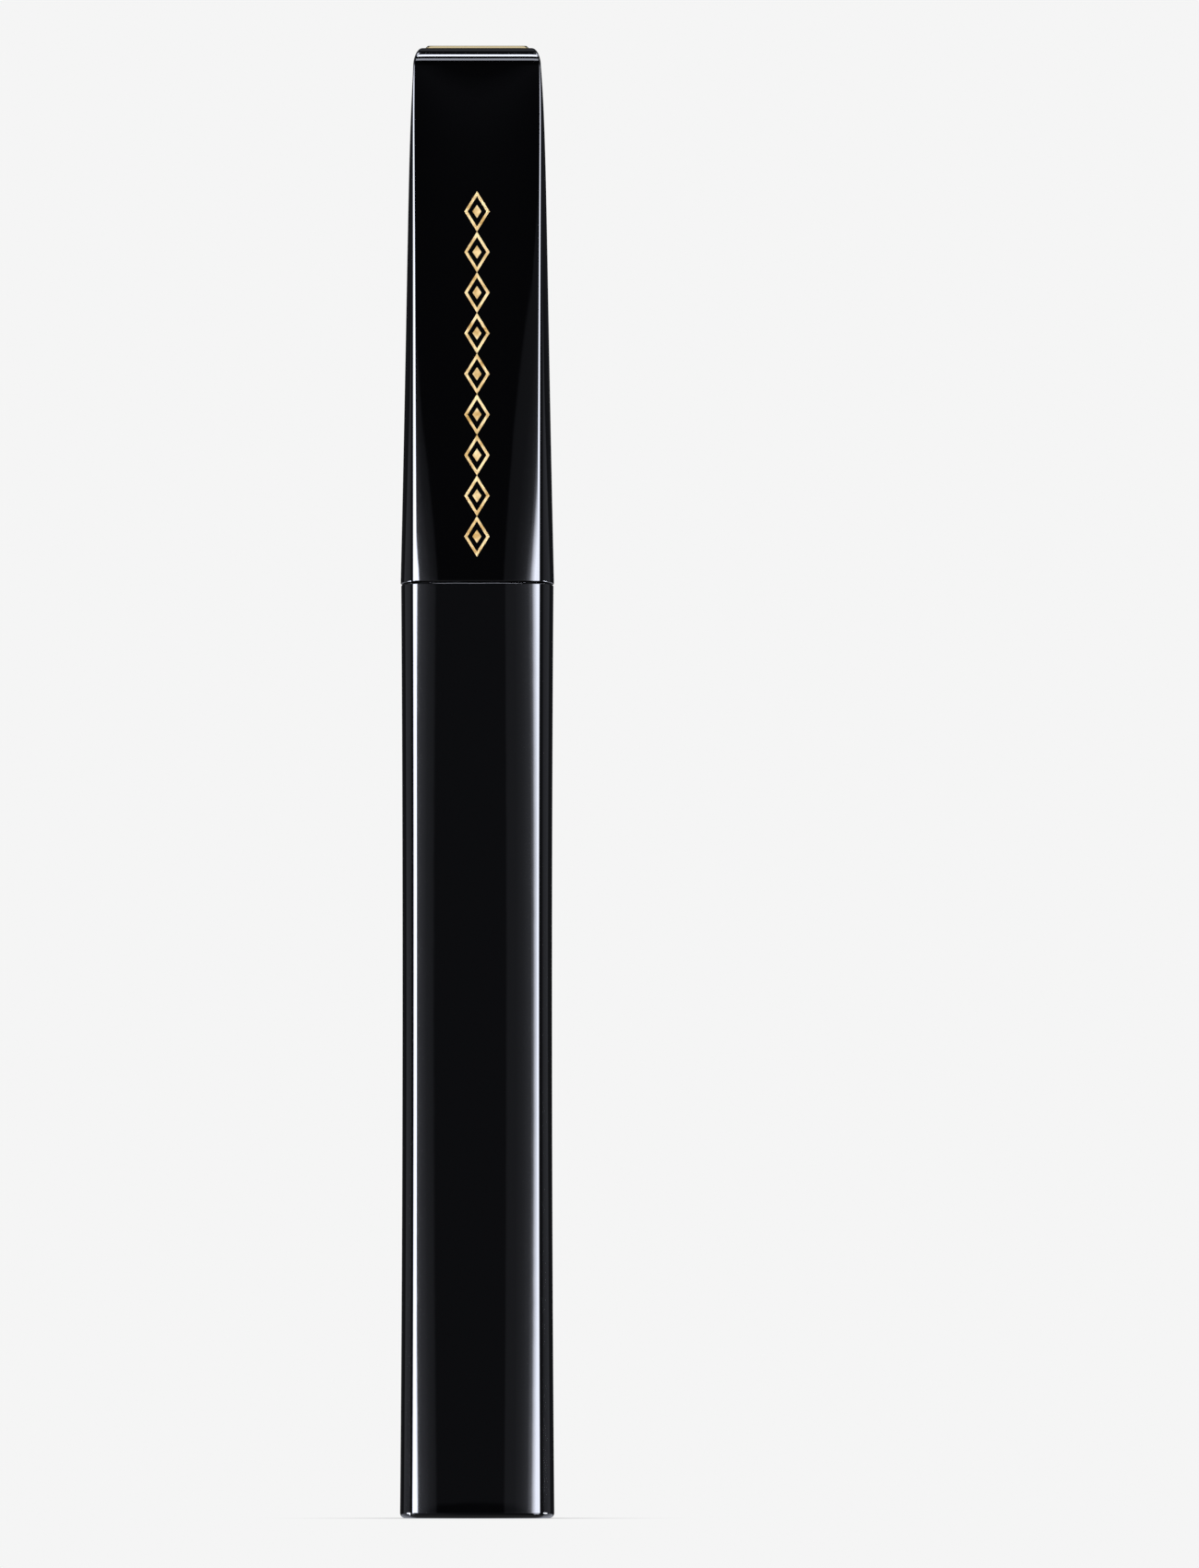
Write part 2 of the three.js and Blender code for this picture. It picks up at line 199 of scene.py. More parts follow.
def object_coordinates(node, link, scale=(1, 1, 1)):
    """Object coordinates, stretched by scale."""
    coordinates = node("ShaderNodeTexCoord")
    mapping = node("ShaderNodeMapping", Scale=scale)
    link(coordinates.outputs["Object"], mapping.inputs["Vector"])
    return mapping.outputs["Vector"]


def ranged_noise(node, link, vector, scale, low, high, detail=3.0):
    """Noise between low and high."""
    noise = node("ShaderNodeTexNoise", Scale=scale, Detail=detail)
    link(vector, noise.inputs["Vector"])
    span = node("ShaderNodeMapRange")
    span.inputs["From Min"].default_value = 0.3
    span.inputs["From Max"].default_value = 0.7
    span.inputs["To Min"].default_value = low
    span.inputs["To Max"].default_value = high
    link(noise.outputs["Fac"], span.inputs["Value"])
    return span.outputs["Result"]


def add_bump(shader, node, link, height, strength, distance):
    """Bump on the whole shader; distance is in metres."""
    bump = node("ShaderNodeBump", Strength=strength, Distance=distance)
    link(height, bump.inputs["Height"])
    link(bump.outputs["Normal"], shader.inputs["Normal"])


def lacquer():
    """Deep black lacquer: a clear smooth surface with the faintest ripple and handling haze."""
    material, shader, node, link = new_material("black_lacquer")
    place = object_coordinates(node, link)
    shader.inputs["Base Color"].default_value = (0.0004, 0.0004, 0.00055, 1)
    shader.inputs["IOR"].default_value = 1.5
    haze = ranged_noise(node, link, place, scale=260.0, low=0.035, high=0.06)
    link(haze, shader.inputs["Roughness"])
    ripple = ranged_noise(node, link, place, scale=420.0, low=0.0, high=1.0, detail=1.0)
    add_bump(shader, node, link, ripple, strength=0.05, distance=0.00002)
    return material


def satin_plastic(name, colour, roughness, shine=0.5, grain=2600.0, depth=0.00001):
    """Moulded plastic with a fine spark-eroded grain."""
    material, shader, node, link = new_material(name)
    place = object_coordinates(node, link)
    shader.inputs["Base Color"].default_value = (*colour, 1)
    shader.inputs["IOR"].default_value = 1.48
    shader.inputs["Specular IOR Level"].default_value = shine
    uneven = ranged_noise(node, link, place, scale=320.0, low=roughness * 0.85, high=roughness * 1.15)
    link(uneven, shader.inputs["Roughness"])
    grained = ranged_noise(node, link, place, scale=grain, low=0.0, high=1.0)
    add_bump(shader, node, link, grained, strength=0.25, distance=depth)
    return material


def waxy_plastic():
    """Soft pale plastic that lets a little light in."""
    material, shader, node, link = new_material("waxy_grey")
    place = object_coordinates(node, link)
    tint = node("ShaderNodeTexNoise", Scale=180.0, Detail=2.0)
    link(place, tint.inputs["Vector"])
    ramp = node("ShaderNodeValToRGB")
    ramp.color_ramp.elements[0].color = (0.50, 0.50, 0.48, 1)
    ramp.color_ramp.elements[1].color = (0.60, 0.60, 0.58, 1)
    link(tint.outputs["Fac"], ramp.inputs["Fac"])
    link(ramp.outputs["Color"], shader.inputs["Base Color"])
    shader.inputs["Roughness"].default_value = 0.42
    shader.inputs["Subsurface Weight"].default_value = 0.25
    shader.inputs["Subsurface Radius"].default_value = (0.0012, 0.0011, 0.001)
    shader.inputs["Subsurface Scale"].default_value = 0.6
    return material


def brushed_gold():
    """Anodised pale gold plate with fine parallel brushing."""
    material, shader, node, link = new_material("pale_gold_plate")
    lines = object_coordinates(node, link, scale=(60, 9000, 60))
    shader.inputs["Metallic"].default_value = 1
    streak = node("ShaderNodeTexNoise", Scale=1.0, Detail=4.0)
    link(lines, streak.inputs["Vector"])
    ramp = node("ShaderNodeValToRGB")
    ramp.color_ramp.elements[0].position = 0.3
    ramp.color_ramp.elements[0].color = (0.76, 0.59, 0.28, 1)
    ramp.color_ramp.elements[1].position = 0.7
    ramp.color_ramp.elements[1].color = (0.90, 0.74, 0.42, 1)
    link(streak.outputs["Fac"], ramp.inputs["Fac"])
    link(ramp.outputs["Color"], shader.inputs["Base Color"])
    rough = ranged_noise(node, link, lines, scale=1.0, low=0.05, high=0.08)
    link(rough, shader.inputs["Roughness"])
    add_bump(shader, node, link, streak.outputs["Fac"], strength=0.05, distance=0.000003)
    return material


def gold_foil():
    """Hot-stamped foil: pale gold, slightly uneven where it was pressed."""
    material, shader, node, link = new_material("gold_foil")
    place = object_coordinates(node, link)
    patches = node("ShaderNodeTexNoise", Scale=900.0, Detail=3.0)
    link(place, patches.inputs["Vector"])
    ramp = node("ShaderNodeValToRGB")
    ramp.color_ramp.elements[0].position = 0.35
    ramp.color_ramp.elements[0].color = (0.40, 0.24, 0.07, 1)
    ramp.color_ramp.elements[1].position = 0.6
    ramp.color_ramp.elements[1].color = (0.66, 0.51, 0.27, 1)
    link(patches.outputs["Fac"], ramp.inputs["Fac"])
    link(ramp.outputs["Color"], shader.inputs["Base Color"])
    shader.inputs["Metallic"].default_value = 0.3
    rough = ranged_noise(node, link, place, scale=1500.0, low=0.42, high=0.55)
    link(rough, shader.inputs["Roughness"])
    return material


def drawn_steel(name, colour, roughness):
    """Steel with fine drawing or turning marks round it."""
    material, shader, node, link = new_material(name)
    rings = object_coordinates(node, link, scale=(40, 40, 7000))
    shader.inputs["Base Color"].default_value = (*colour, 1)
    shader.inputs["Metallic"].default_value = 1
    marks = ranged_noise(node, link, rings, scale=1.0, low=roughness * 0.7, high=roughness * 1.3)
    link(marks, shader.inputs["Roughness"])
    return material


def nylon_fibre():
    """Black nylon fibre: a soft sheen that varies along the brush, and some fibre ends painted pale grey as
    glints (a painted highlight).
    """
    material, shader, node, link = new_material("nylon_fibre")
    place = object_coordinates(node, link)
    end = node("ShaderNodeAttribute")
    end.attribute_name = "painted_glint"
    ramp = node("ShaderNodeValToRGB")
    ramp.color_ramp.elements[0].color = (0.0012, 0.0012, 0.0014, 1)
    # Pale grey for the end faces marked as glints: a painted highlight, not the nylon's own colour.
    ramp.color_ramp.elements[1].color = (0.55, 0.58, 0.62, 1)
    link(end.outputs["Fac"], ramp.inputs["Fac"])
    link(ramp.outputs["Color"], shader.inputs["Base Color"])
    shader.inputs["Specular IOR Level"].default_value = 0.12
    gloss = ranged_noise(node, link, place, scale=1400.0, low=0.25, high=0.5)
    link(gloss, shader.inputs["Roughness"])
    return material


LACQUER = lacquer()
STEM_BLACK = satin_plastic("stem_black", (0.0006, 0.0006, 0.0007), roughness=0.06, grain=900.0, depth=1e-6)
SATIN_BLACK = satin_plastic("satin_black", (0.004, 0.004, 0.0045), roughness=0.3, shine=0.16)
WAXY_GREY = waxy_plastic()
RUBBER = satin_plastic("washer_rubber", (0.012, 0.012, 0.013), roughness=0.6)
PLATE_GOLD = brushed_gold()
FOIL = gold_foil()
WEIGHT_STEEL = drawn_steel("turned_steel", (0.42, 0.43, 0.44), roughness=0.3)
WIRE_STEEL = drawn_steel("drawn_wire", (0.05, 0.05, 0.055), roughness=0.22)
NYLON = nylon_fibre()


# Meshes


def mesh_piece(name, points, faces, material, sharp=35):
    """A smooth-shaded piece from points in millimetres."""
    mesh = bpy.data.meshes.new(name)
    mesh.from_pydata([Vector(p) * MM for p in points], [], faces)
    mesh.materials.append(material)
    mesh.shade_smooth()
    mesh.set_sharp_from_angle(angle=math.radians(sharp))
    mesh.update()
    obj = bpy.data.objects.new(name, mesh)
    bpy.context.scene.collection.objects.link(obj)
    return obj


def signed_volume(points, faces):
    """Six times the volume inside, negative where the faces look inwards."""
    total = 0
    for face in faces:
        a = Vector(points[face[0]])
        for b, c in zip(face[1:], face[2:]):
            total += a.dot(Vector(points[b]).cross(Vector(points[c])))
    return total


def ring_faces(count, rings, looped, offset=0):
    """Four-sided faces between rings of points, and a face over each end unless the rings loop."""
    faces = []
    for r in range(rings if looped else rings - 1):
        here, above = offset + r * count, offset + (r + 1) % rings * count
        for i in range(count):
            j = (i + 1) % count
            faces.append((here + i, here + j, above + j, above + i))
    if not looped:
        faces.append(tuple(range(offset + count - 1, offset - 1, -1)))
        faces.append(tuple(range(offset + (rings - 1) * count, offset + rings * count)))
    return faces


def skin(name, rings, material, looped=False, sharp=35):
    """A closed skin over rings of points."""
    points = [point for ring in rings for point in ring]
    faces = ring_faces(len(rings[0]), len(rings), looped)
    if signed_volume(points, faces) < 0:
        faces = [face[::-1] for face in faces]
    return mesh_piece(name, points, faces, material, sharp)


def square_ring(z, middle, corner, cut=CORNER_CUT):
    """A level of the convex-sided square: sides bulge from corner's half width to the middle's."""
    side_steps = 20
    corner_steps = 10

    def side(x):
        return middle - (middle - corner) * (x / corner) ** 2

    start = corner - cut
    lean = math.atan(2 * (middle - corner) * start / corner**2)
    radius = (side(start) - start) / (math.cos(lean) - math.sin(lean))
    centre = start - radius * math.sin(lean)
    quarter = []
    for i in range(side_steps):
        x = mix(start, -start, i / side_steps)
        quarter.append((x, side(x)))
    for i in range(corner_steps):
        angle = mix(lean, math.pi / 2 - lean, i / corner_steps)
        quarter.append((-centre - radius * math.sin(angle), centre + radius * math.cos(angle)))
    ring = []
    for c, s in ((1, 0), (0, 1), (-1, 0), (0, -1)):
        ring.extend((x * c - y * s, x * s + y * c, z) for x, y in quarter)
    return ring


def tube_ring(z, inset=0.0, shape=None):
    """A level of the tube, its sides moved in by inset."""
    shape = z if shape is None else shape
    return square_ring(z, tube_width(shape) - inset, tube_corner(shape) - inset)


def cap_ring(z, inset=0.0, shape=None):
    """A level of the cap, its sides moved in by inset."""
    shape = z if shape is None else shape
    return square_ring(z, cap_width(shape) - inset, cap_corner(shape) - inset, cap_cut(shape))


def flat_ring(z, half):
    """A level with straight sides."""
    return square_ring(z, half, half, RECESS_CUT)


def round_ring(z, radius):
    """A round level whose points stand at the square's angles."""
    ring = []
    for x, y, _ in square_ring(z, WAIST, WAIST_CORNER):
        scale = radius / math.hypot(x, y)
        ring.append((x * scale, y * scale, z))
    return ring


def turned(name, profile, material):
    """A turned piece from a closed half section of (radius, height) points, none on the axis."""
    steps = 96
    rings = []
    for k in range(steps):
        c, s = math.cos(TURN * k / steps), math.sin(TURN * k / steps)
        rings.append([(r * c, r * s, z) for r, z in profile])
    return skin(name, rings, material, looped=True)


def rounded(profile, radius):
    """The closed profile with each corner rounded as far as its sides allow."""
    steps = 4
    share = 0.45  # of a side that one corner may take
    result = []
    count = len(profile)
    for i, point in enumerate(profile):
        here = Vector(point)
        before = Vector(profile[i - 1]) - here
        after = Vector(profile[(i + 1) % count]) - here
        reach = min(radius, before.length * share, after.length * share)
        first = here + before.normalized() * reach
        last = here + after.normalized() * reach
        for k in range(steps + 1):
            t = k / steps
            bend = first * (1 - t) ** 2 + here * 2 * t * (1 - t) + last * t**2
            result.append((bend.x, bend.y))
    return result


# Tube


def quarter_turn(steps=8):
    """Sine and cosine down a rounded edge."""
    return [(math.sin(math.pi / 2 * k / steps), math.cos(math.pi / 2 * k / steps)) for k in range(steps + 1)]


def tube_skin():
    """The outer tube: a slight waist, a soft foot, a fine rolled top edge round the neck's hole."""
    foot = 0.5
    lip = 0.1
    wall = 1.0
    ceiling = TUBE_TOP - 1.1
    hole = NECK_RADIUS + COLLAR_GAP
    levels = 46
    side_low, side_high = FOOT + foot + 0.06, TUBE_TOP - lip - 0.05
    rings = [tube_ring(FOOT + foot * (1 - c), foot * (1 - s), 0) for s, c in quarter_turn()]
    rings += [tube_ring(mix(side_low, side_high, k / levels)) for k in range(levels + 1)]
    rings += [tube_ring(TUBE_TOP - lip * (1 - s), lip * (1 - c), TUBE_TOP) for s, c in quarter_turn()]
    rings += [
        tube_ring(TUBE_TOP, 0.6),
        round_ring(TUBE_TOP, hole + 0.1),
        round_ring(TUBE_TOP - 0.1, hole),
        round_ring(ceiling, hole),
        tube_ring(ceiling, wall),
        tube_ring(WAIST_HEIGHT, wall),
        tube_ring(FOOT + 0.15, wall, 0),
        tube_ring(FOOT, wall - 0.12, 0),
    ]
    return skin("tube_outer", rings, LACQUER, looped=True)


def base_skin():
    """The plug in the foot: a flat panel with a softly rounded edge and a shallow moulded dish."""
    inset = 1.25
    dish = 3.9
    dish_depth = 0.35
    socket = RESERVOIR_RADIUS + 0.25
    socket_floor = RESERVOIR_FLOOR - 0.25
    low, high = height_range("base_plug")
    rings = [
        round_ring(low + dish_depth, 0.6),
        round_ring(low + dish_depth, dish - 0.5),
        round_ring(low + dish_depth - 0.05, dish - 0.35),
        round_ring(low + 0.05, dish - 0.15),
        round_ring(low, dish),
        tube_ring(low, inset + 0.3, 0),
        tube_ring(low + 0.06, inset + 0.1, 0),
        tube_ring(low + 0.25, inset, 0),
        tube_ring(high, inset, 0),
        round_ring(high, socket),
        round_ring(socket_floor, socket),
        round_ring(socket_floor, 1),
    ]
    return skin("base_closure", rings, SATIN_BLACK)


def helical_height(angle, z, start):
    """How far up a thread's flank a point is, from 0 at the wall to 1 on the crest."""
    best = 0
    first = angle / TURN * THREAD_LEAD + start
    for k in range(-1, math.ceil(THREAD_TURNS) + 2):
        centre = first + k * THREAD_LEAD
        along = (centre - start) / THREAD_LEAD
        if not 0 <= along <= THREAD_TURNS:
            continue
        fade = min(1, along / THREAD_RUN_OUT, (THREAD_TURNS - along) / THREAD_RUN_OUT)
        rise = (THREAD_HALF_ROOT - abs(z - centre)) / (THREAD_HALF_ROOT - THREAD_HALF_CREST)
        best = max(best, fade * min(1, max(0, rise)))
    return best


def threaded(name, profile, thread, material):
    """A turned piece whose wall at thread['wall'] carries a helical ridge."""
    steps = 120
    rings = []
    for k in range(steps):
        angle = TURN * k / steps
        ring = []
        for r, z in profile:
            if abs(r - thread["wall"]) < 1e-6:
                r = mix(r, thread["crest"], helical_height(angle, z, thread["start"]))
            ring.append((r * math.cos(angle), r * math.sin(angle), z))
        rings.append(ring)
    return skin(name, rings, material, looped=True, sharp=50)


def wall_points(radius, low, high):
    """Points up or down a straight wall, close enough together to carry a thread."""
    step = 0.12
    count = round(abs(high - low) / step)
    return [(radius, mix(low, high, i / count)) for i in range(count + 1)]


def bottle_skin():
    """The reservoir and its threaded neck."""
    pinhole = 0.4  # where the profile closes, short of the axis
    neck_foot = RESERVOIR_TOP + 1.4
    thread_low, thread_high = 91.5, 99.5
    inner_floor = RESERVOIR_FLOOR + RESERVOIR_WALL
    profile = [
        (pinhole, RESERVOIR_FLOOR),
        (RESERVOIR_RADIUS - 0.6, RESERVOIR_FLOOR),
        (RESERVOIR_RADIUS - 0.2, RESERVOIR_FLOOR + 0.15),
        (RESERVOIR_RADIUS, RESERVOIR_FLOOR + 0.6),
        (RESERVOIR_RADIUS, RESERVOIR_TOP),
        (RESERVOIR_RADIUS - 0.5, RESERVOIR_TOP + 0.7),
        (NECK_RADIUS + 0.1, neck_foot - 0.3),
        (NECK_RADIUS, neck_foot),
    ]
    profile += wall_points(NECK_RADIUS, thread_low, thread_high)
    profile += [
        (NECK_RADIUS, NECK_TOP - 0.2),
        (NECK_RADIUS - 0.06, NECK_TOP - 0.06),
        (NECK_RADIUS - 0.2, NECK_TOP),
        (NECK_BORE + 0.15, NECK_TOP),
        (NECK_BORE, NECK_TOP - 0.15),
        (NECK_BORE, neck_foot),
        (RESERVOIR_BORE, RESERVOIR_TOP - 0.2),
        (RESERVOIR_BORE, inner_floor + 0.6),
        (RESERVOIR_BORE - 0.6, inner_floor),
        (pinhole, inner_floor),
    ]
    thread = {"wall": NECK_RADIUS, "crest": NECK_CREST, "start": NECK_THREAD_START}
    return threaded("reservoir_and_neck", profile, thread, SATIN_BLACK)


def collar_skin():
    """The glossy ring round the neck's foot."""
    low, high = height_range("neck_collar")
    inner = NECK_RADIUS + COLLAR_GAP
    chamfer = 0.2
    profile = [(inner, low), (COLLAR_RADIUS, low), (COLLAR_RADIUS, high - chamfer)]
    profile += [(COLLAR_RADIUS - chamfer, high), (inner, high)]
    return turned("collar_ring", rounded(profile, 0.08), LACQUER)


def wiper_skin():
    """The wiper: a flange on the neck's rim, a sleeve down the neck and a narrow mouth."""
    low, high = height_range("wiper")
    mouth = STEM_RADIUS + SLIDE_GAP
    sleeve = NECK_BORE - 0.25
    flange_low = NECK_TOP + 0.2
    profile = [
        (WIPER_RADIUS, flange_low),
        (WIPER_RADIUS, high),
        (WIPER_BORE + 0.2, high),
        (WIPER_BORE, high - 0.3),
        (WIPER_BORE, WIPER_WAIST + 0.1),
        (mouth, low + 0.5),
        (mouth, low),
        (WIPER_BORE - 0.2, low),
        (sleeve, WIPER_WAIST - 0.1),
        (sleeve, flange_low),
    ]
    return turned("wiper_insert", rounded(profile, 0.12), WAXY_GREY)


def washer_skin():
    """The sealing washer, loose round the stem."""
    low, high = height_range("seal_washer")
    bore = STEM_RADIUS + SLIDE_GAP
    profile = [(bore, low), (WASHER_RADIUS, low), (WASHER_RADIUS, high), (bore, high)]
    return turned("sealing_ring", rounded(profile, 0.12), RUBBER)


def weight_skin():
    """The steel ring, loose round the inner cap's boss."""
    low, high = height_range("cap_weight")
    profile = [(WEIGHT_BORE, low), (WEIGHT_RADIUS, low), (WEIGHT_RADIUS, high), (WEIGHT_BORE, high)]
    return turned("weight_ring", rounded(profile, 0.25), WEIGHT_STEEL)


# Cap and brush


def cap_skin():
    """The outer cap: flared convex sides, a rounded shoulder, a seat for the plate and a soft rim."""
    wall = 0.8
    rim = 0.1
    low = RIM - 0.14  # nearer to the tube than the CAD rim, whose gap keeps the bodies apart
    shoulder_foot = CAP_TOP - SHOULDER
    ceiling = CAP_TOP - 2
    bend = 132  # above this the sides curve in faster, so the levels stand closer
    lower_levels = 36
    upper_levels = 20
    rings = [round_ring(ceiling, 1), cap_ring(ceiling, wall + 0.3), cap_ring(ceiling - 0.3, wall)]
    rings += [cap_ring(z, wall) for z in (bend, 126, 120, 112, 104, 96, low + 0.15)]
    rings.append(cap_ring(low, wall - 0.12))
    rings += [cap_ring(low + rim * (1 - c), rim * (1 - s), RIM) for s, c in quarter_turn()]
    rings += [cap_ring(mix(low + rim + 0.05, bend, k / lower_levels)) for k in range(lower_levels + 1)]
    rings += [cap_ring(mix(bend + 0.5, shoulder_foot, k / upper_levels)) for k in range(upper_levels + 1)]
    lean = (FLARE / FLARE_LENGTH + SLOPE) * SHOULDER
    for s, c in quarter_turn(24)[1:]:
        half = TOP_WIDTH - (SHOULDER_INSET - lean) * (1 - c) - lean * s
        rings.append(square_ring(shoulder_foot + SHOULDER * s, half, half, TOP_CUT))
    seat = PLATE_BOTTOM - 0.2
    rings += [
        flat_ring(CAP_TOP - 0.01, RECESS + 0.02),
        flat_ring(CAP_TOP - 0.05, RECESS),
        flat_ring(seat, RECESS),
        round_ring(seat, 1),
    ]
    return skin("cap_outer", rings, LACQUER)


def plate_skin():
    """The gold plate: flat, with a slightly crowned chamfer round it."""
    first, last = math.radians(35), math.radians(50)
    radius = PLATE_BEVEL / (math.cos(first) - math.cos(last))
    start = PLATE_TOP - radius * (math.sin(last) - math.sin(first))
    steps = 8
    rings = [round_ring(PLATE_BOTTOM, 1), flat_ring(PLATE_BOTTOM, PLATE_HALF)]
    for k in range(steps + 1):
        angle = mix(first, last, k / steps)
        inset = radius * (math.cos(first) - math.cos(angle))
        rise = radius * (math.sin(angle) - math.sin(first))
        rings.append(flat_ring(start + rise, PLATE_HALF - inset))
    rings += [flat_ring(PLATE_TOP, PLATE_HALF - 0.5), round_ring(PLATE_TOP, 1)]
    return skin("gold_top_plate", rings, PLATE_GOLD, sharp=25)


def inner_cap_skin():
    """The inner cap with its thread, and the boss that holds the stem."""
    pinhole = 0.3  # where the profile closes, short of the axis
    socket = SPIGOT_RADIUS + 0.25
    socket_top = SPIGOT_TOP + 0.25
    seat = height_range("seal_washer")[1] + SEAT_GAP
    low = height_range("inner_cap")[0]
    web_low, web_high = seat + 1.2, seat + 2.2
    thread_low, thread_high = 90.4, 97.4
    bead = BOSS_RADIUS + 0.25
    profile = [(pinhole, socket_top), (socket, socket_top), (socket, web_low)]
    profile += [(CAP_THREAD_ROOT, web_low), (CAP_THREAD_ROOT, thread_high + 0.1)]
    profile += wall_points(CAP_THREAD_ROOT, thread_high, thread_low)
    profile += [
        (CAP_THREAD_ROOT + 0.1, low),
        (LINER_RADIUS - 0.1, low),
        (LINER_RADIUS, low + 0.1),
        (LINER_RADIUS, web_high - 0.2),
        (LINER_RADIUS - 0.2, web_high),
        (BOSS_RADIUS, web_high),
        (BOSS_RADIUS, BOSS_TOP - 0.9),
        (bead, BOSS_TOP - 0.7),
        (bead, BOSS_TOP - 0.4),
        (BOSS_RADIUS, BOSS_TOP),
        (pinhole, BOSS_TOP),
    ]
    start = NECK_THREAD_START - THREAD_LEAD / 2
    thread = {"wall": CAP_THREAD_ROOT, "crest": CAP_THREAD_CREST, "start": start}
    return threaded("cap_liner", profile, thread, SATIN_BLACK)


def stem_skin():
    """The stem: a slim straight rod that narrows in an ogive where it grips the wire."""
    pinhole = 0.3  # where the profile closes, short of the axis
    seat = height_range("seal_washer")[1] + SEAT_GAP
    disc_top = seat + DISC_HEIGHT
    socket = 0.82
    socket_top = WIRE_TOP + 0.2
    edge = 0.05
    taper_steps = 24
    profile = [(pinhole, socket_top), (socket, socket_top), (socket, STEM_END + 0.06)]
    profile += [(socket + 0.06, STEM_END), (STEM_END_RADIUS - 0.12, STEM_END)]
    for k in range(taper_steps + 1):
        t = k / taper_steps
        rounding = edge * (1 - min(1, t * 12))
        radius = mix(STEM_END_RADIUS, STEM_RADIUS, math.sin(t * math.pi / 2))
        profile.append((radius - rounding, STEM_END + edge + (STEM_TAPER - edge) * t))
    profile += [(STEM_RADIUS, z) for z in range(50, 101, 10)]
    profile += [
        (STEM_RADIUS, seat - 0.2),
        (STEM_RADIUS + 0.2, seat),
        (DISC_RADIUS - 0.1, seat),
        (DISC_RADIUS, seat + 0.1),
        (DISC_RADIUS, disc_top - 0.1),
        (DISC_RADIUS - 0.1, disc_top),
        (SPIGOT_RADIUS, disc_top),
        (SPIGOT_RADIUS, SPIGOT_TOP - 0.2),
        (SPIGOT_RADIUS - 0.2, SPIGOT_TOP),
        (pinhole, SPIGOT_TOP),
    ]
    return turned("stem_rod", profile, STEM_BLACK)


def tube_along(path, radius):
    """Rings of points round a path, without twist."""
    sides = 10
    rings = []
    across = Vector((1, 0, 0))
    for i, point in enumerate(path):
        ahead = (path[min(i + 1, len(path) - 1)] - path[max(i - 1, 0)]).normalized()
        across = (across - ahead * across.dot(ahead)).normalized()
        other = ahead.cross(across)
        ring = []
        for k in range(sides):
            angle = TURN * k / sides
            ring.append(tuple(point + (across * math.cos(angle) + other * math.sin(angle)) * radius))
        rings.append(ring)
    return rings


def wire_skin():
    """One wire bent back on itself at the tip and twisted into a pair."""
    bend = BRUSH_TIP + 0.8
    bend_depth = 0.44
    bend_steps = 12
    opening_steps = 6
    spread = WIRE_STRAND * 1.25
    pitch = 2 * FIBRE_PITCH
    steps = 16
    count = round((WIRE_TOP - bend) / pitch * steps)
    strands = []
    for side in (1, -1):
        strand = []
        for i in range(count + 1):
            z = mix(bend, WIRE_TOP, i / count)
            opening = mix(spread, WIRE_STRAND, min(1, i / opening_steps))
            angle = TURN * (z - bend) / pitch
            strand.append(Vector((side * opening * math.cos(angle), side * opening * math.sin(angle), z)))
        strands.append(strand)
    loop = []
    for k in range(1, bend_steps):
        angle = math.pi * k / bend_steps
        loop.append(Vector((spread * math.cos(angle), 0, bend - bend_depth * math.sin(angle))))
    path = strands[0][::-1] + loop + strands[1]
    return skin("twisted_wire", tube_along(path, WIRE_STRAND), WIRE_STEEL)


def brush_radius(z):
    """How far the fibres reach at a height: a taper with a short round end."""
    low, high = BRUSH_TIP + 1.6, STEM_END
    t = min(1, max(0, (z - low) / (high - low)))
    body = mix(BRUSH_TIP_RADIUS, BRUSH_BASE_RADIUS, t)
    return body * min(1, 0.55 + t * 6)


def fibre_points(root, tip, radius, end_radius):
    """A slim four-sided fibre with a blunt end."""
    axis = (tip - root).normalized()
    across = axis.orthogonal().normalized()
    other = axis.cross(across)
    points = []
    for place, width in ((root, radius), (root.lerp(tip, 0.9), radius), (tip, end_radius)):
        for k in range(FIBRE_SIDES):
            angle = TURN * k / FIBRE_SIDES
            offset = (across * math.cos(angle) + other * math.sin(angle)) * width
            points.append(tuple(place + offset))
    return points


